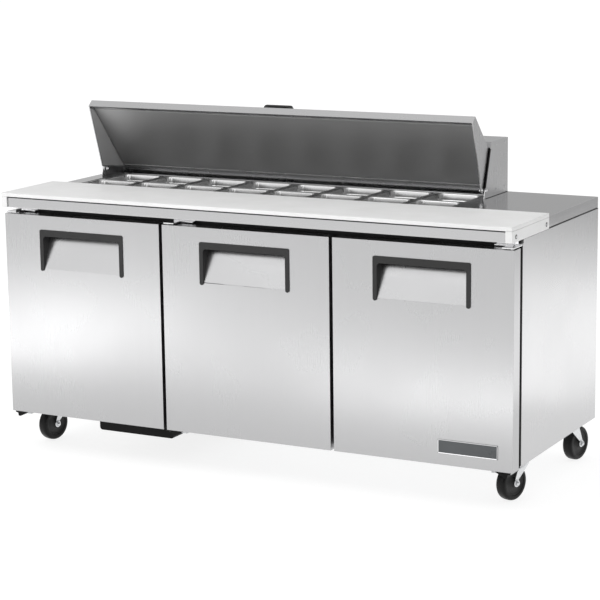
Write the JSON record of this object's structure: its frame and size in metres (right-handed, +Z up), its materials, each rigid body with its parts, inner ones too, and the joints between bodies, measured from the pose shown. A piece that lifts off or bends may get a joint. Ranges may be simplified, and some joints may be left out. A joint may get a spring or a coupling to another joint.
{
  "type": "sandwich prep table",
  "caption": "Refrigerated sandwich prep table: doored cabinet on casters, full-length cutting board, pan rail under a tilting insulated lid with a fixed hood.",
  "frame": {"origin": "on the floor, under the middle of the bounding box", "axes": "+X along the length to the right-hand end, +Y towards the back, +Z up"},
  "size_m": [1.839, 0.766, 1.1611],
  "materials": {
    "stainless": "satin brushed stainless steel",
    "stainless_door": "satin stainless steel, grain running up and down",
    "pan_stainless": "bright drawn stainless steel",
    "galvanised_steel": "dull galvanised steel",
    "cabinet_lining": "clear-coated aluminium lining",
    "polyethylene": "white high-density polyethylene",
    "black_plastic": "dark grey-black moulded plastic",
    "gasket_rubber": "black magnetic gasket",
    "wheel_rubber": "black polyolefin wheel",
    "chrome": "bright plated steel",
    "zinc_plate": "bright zinc-plated steel",
    "dark_liner": "polished stainless steel that mirrors its dark surroundings",
    "coated_wire": "white PVC-coated wire",
    "black_steel": "black painted steel",
    "aluminium_fins": "bare aluminium fins"
  },
  "bodies": {
    "cabinet": {"outer_shell": "stainless", "base_frame": "galvanised_steel", "insulated_liner": "cabinet_lining", "front_frame": "black_plastic", "left_top_hinge": "chrome", "left_shelf_rack": "coated_wire", "centre_top_hinge": "chrome", "centre_shelf_rack": "coated_wire", "right_top_hinge": "chrome", "right_shelf_rack": "coated_wire", "worktop": "stainless", "left_board_bracket": "polyethylene", "right_board_bracket": "polyethylene", "pan_divider_frame": "pan_stainless", "rear_pan_bank": "pan_stainless", "hood_shell": "stainless", "left_lid_pin": "chrome", "right_lid_pin": "chrome", "evaporator_housing": "cabinet_lining", "evaporator_coil": "aluminium_fins", "evaporator_fan_motor": "black_steel", "unit_tray": "black_steel", "compressor": "black_steel", "condenser_coil": "aluminium_fins", "condenser_fan_motor": "black_steel", "rear_grille": "galvanised_steel"},
    "left_door": {"left_door_panel": "stainless_door", "left_door_gasket": "gasket_rubber", "left_door_handle": "black_plastic"},
    "centre_door": {"centre_door_panel": "stainless_door", "centre_door_gasket": "gasket_rubber", "centre_door_handle": "black_plastic"},
    "right_door": {"right_door_panel": "stainless_door", "right_door_gasket": "gasket_rubber", "right_door_handle": "black_plastic", "badge_plate": "chrome"},
    "lid": {"lid_shell": "stainless", "lid_liner": "dark_liner", "lid_handle": "black_plastic"},
    "board": {"cutting_board": "polyethylene"},
    "pan_1": {"front_pan_1": "pan_stainless"},
    "pan_2": {"front_pan_2": "pan_stainless"},
    "pan_3": {"front_pan_3": "pan_stainless"},
    "pan_4": {"front_pan_4": "pan_stainless"},
    "pan_5": {"front_pan_5": "pan_stainless"},
    "pan_6": {"front_pan_6": "pan_stainless"},
    "pan_7": {"front_pan_7": "pan_stainless"},
    "pan_8": {"front_pan_8": "pan_stainless"},
    "evaporator_fan_rotor": {"evaporator_fan": "black_plastic"},
    "condenser_fan_rotor": {"condenser_fan": "black_plastic"},
    "front_left_swivel": {"front_left_caster_fork": "zinc_plate"},
    "front_left_wheel": {"front_left_caster_wheel": "wheel_rubber"},
    "front_right_swivel": {"front_right_caster_fork": "zinc_plate"},
    "front_right_wheel": {"front_right_caster_wheel": "wheel_rubber"},
    "rear_left_swivel": {"rear_left_caster_fork": "zinc_plate"},
    "rear_left_wheel": {"rear_left_caster_wheel": "wheel_rubber"},
    "rear_right_swivel": {"rear_right_caster_fork": "zinc_plate"},
    "rear_right_wheel": {"rear_right_caster_wheel": "wheel_rubber"},
    "front_left_brake": {"front_left_brake_pedal": "black_plastic"},
    "front_right_brake": {"front_right_brake_pedal": "black_plastic"}
  },
  "joints": [
    {"name": "left_door_hinge", "type": "hinge", "parent": "cabinet", "child": "left_door", "pos_m": [-0.9055, -0.348, 0.476], "axis": [0, 0, 1], "range_deg": [-90, 0], "stiffness_Nm_per_rad": 0.6},
    {"name": "centre_door_hinge", "type": "hinge", "parent": "cabinet", "child": "centre_door", "pos_m": [-0.2885, -0.348, 0.476], "axis": [0, 0, 1], "range_deg": [-90, 0], "stiffness_Nm_per_rad": 0.6},
    {"name": "right_door_hinge", "type": "hinge", "parent": "cabinet", "child": "right_door", "pos_m": [0.9055, -0.348, 0.476], "axis": [0, 0, 1], "range_deg": [0, 90], "stiffness_Nm_per_rad": 0.6},
    {"name": "lid_hinge", "type": "hinge", "parent": "cabinet", "child": "lid", "pos_m": [-0.145, 0.195, 0.903], "axis": [-1, 0, 0], "range_deg": [-72.8, 0]},
    {"name": "board_lift", "type": "slide", "parent": "cabinet", "child": "board", "axis": [0, 0, 1], "range_m": [0, 0.15]},
    {"name": "pan_1_lift", "type": "slide", "parent": "cabinet", "child": "pan_1", "axis": [0, 0, 1], "range_m": [0, 0.15]},
    {"name": "pan_2_lift", "type": "slide", "parent": "cabinet", "child": "pan_2", "axis": [0, 0, 1], "range_m": [0, 0.15]},
    {"name": "pan_3_lift", "type": "slide", "parent": "cabinet", "child": "pan_3", "axis": [0, 0, 1], "range_m": [0, 0.15]},
    {"name": "pan_4_lift", "type": "slide", "parent": "cabinet", "child": "pan_4", "axis": [0, 0, 1], "range_m": [0, 0.15]},
    {"name": "pan_5_lift", "type": "slide", "parent": "cabinet", "child": "pan_5", "axis": [0, 0, 1], "range_m": [0, 0.15]},
    {"name": "pan_6_lift", "type": "slide", "parent": "cabinet", "child": "pan_6", "axis": [0, 0, 1], "range_m": [0, 0.15]},
    {"name": "pan_7_lift", "type": "slide", "parent": "cabinet", "child": "pan_7", "axis": [0, 0, 1], "range_m": [0, 0.15]},
    {"name": "pan_8_lift", "type": "slide", "parent": "cabinet", "child": "pan_8", "axis": [0, 0, 1], "range_m": [0, 0.15]},
    {"name": "evaporator_fan_spin", "type": "hinge", "parent": "cabinet", "child": "evaporator_fan_rotor", "pos_m": [0.16, 0.255, 0.635], "axis": [0, 1, 0], "continuous": true},
    {"name": "condenser_fan_spin", "type": "hinge", "parent": "cabinet", "child": "condenser_fan_rotor", "pos_m": [-0.355, 0.262, 0.222], "axis": [0, 1, 0], "continuous": true},
    {"name": "front_left_swivel_turn", "type": "hinge", "parent": "cabinet", "child": "front_left_swivel", "pos_m": [-0.86, -0.168, 0.12], "axis": [0, 0, 1], "continuous": true},
    {"name": "front_left_wheel_spin", "type": "hinge", "parent": "front_left_swivel", "child": "front_left_wheel", "pos_m": [-0.86728, -0.20224, 0.057], "axis": [0.9781, -0.2079, 0], "continuous": true},
    {"name": "front_right_swivel_turn", "type": "hinge", "parent": "cabinet", "child": "front_right_swivel", "pos_m": [0.86, -0.168, 0.12], "axis": [0, 0, 1], "continuous": true},
    {"name": "front_right_wheel_spin", "type": "hinge", "parent": "front_right_swivel", "child": "front_right_wheel", "pos_m": [0.84918, -0.20129, 0.057], "axis": [0.9511, -0.309, 0], "continuous": true},
    {"name": "rear_left_swivel_turn", "type": "hinge", "parent": "cabinet", "child": "rear_left_swivel", "pos_m": [-0.86, 0.289, 0.12], "axis": [0, 0, 1], "continuous": true},
    {"name": "rear_left_wheel_spin", "type": "hinge", "parent": "rear_left_swivel", "child": "rear_left_wheel", "pos_m": [-0.85513, 0.32366, 0.057], "axis": [0.9903, -0.1392, 0], "continuous": true},
    {"name": "rear_right_swivel_turn", "type": "hinge", "parent": "cabinet", "child": "rear_right_swivel", "pos_m": [0.86, 0.289, 0.12], "axis": [0, 0, 1], "continuous": true},
    {"name": "rear_right_wheel_spin", "type": "hinge", "parent": "rear_right_swivel", "child": "rear_right_wheel", "pos_m": [0.86728, 0.32324, 0.057], "axis": [0.9781, -0.2079, 0], "continuous": true},
    {"name": "front_left_brake_press", "type": "hinge", "parent": "front_left_swivel", "child": "front_left_brake", "pos_m": [-0.86541, -0.19343, 0.12], "axis": [0.9781, -0.2079, 0], "range_deg": [0, 10]},
    {"name": "front_right_brake_press", "type": "hinge", "parent": "front_right_swivel", "child": "front_right_brake", "pos_m": [0.85197, -0.19273, 0.12], "axis": [0.9511, -0.309, 0], "range_deg": [0, 10]}
  ]
}
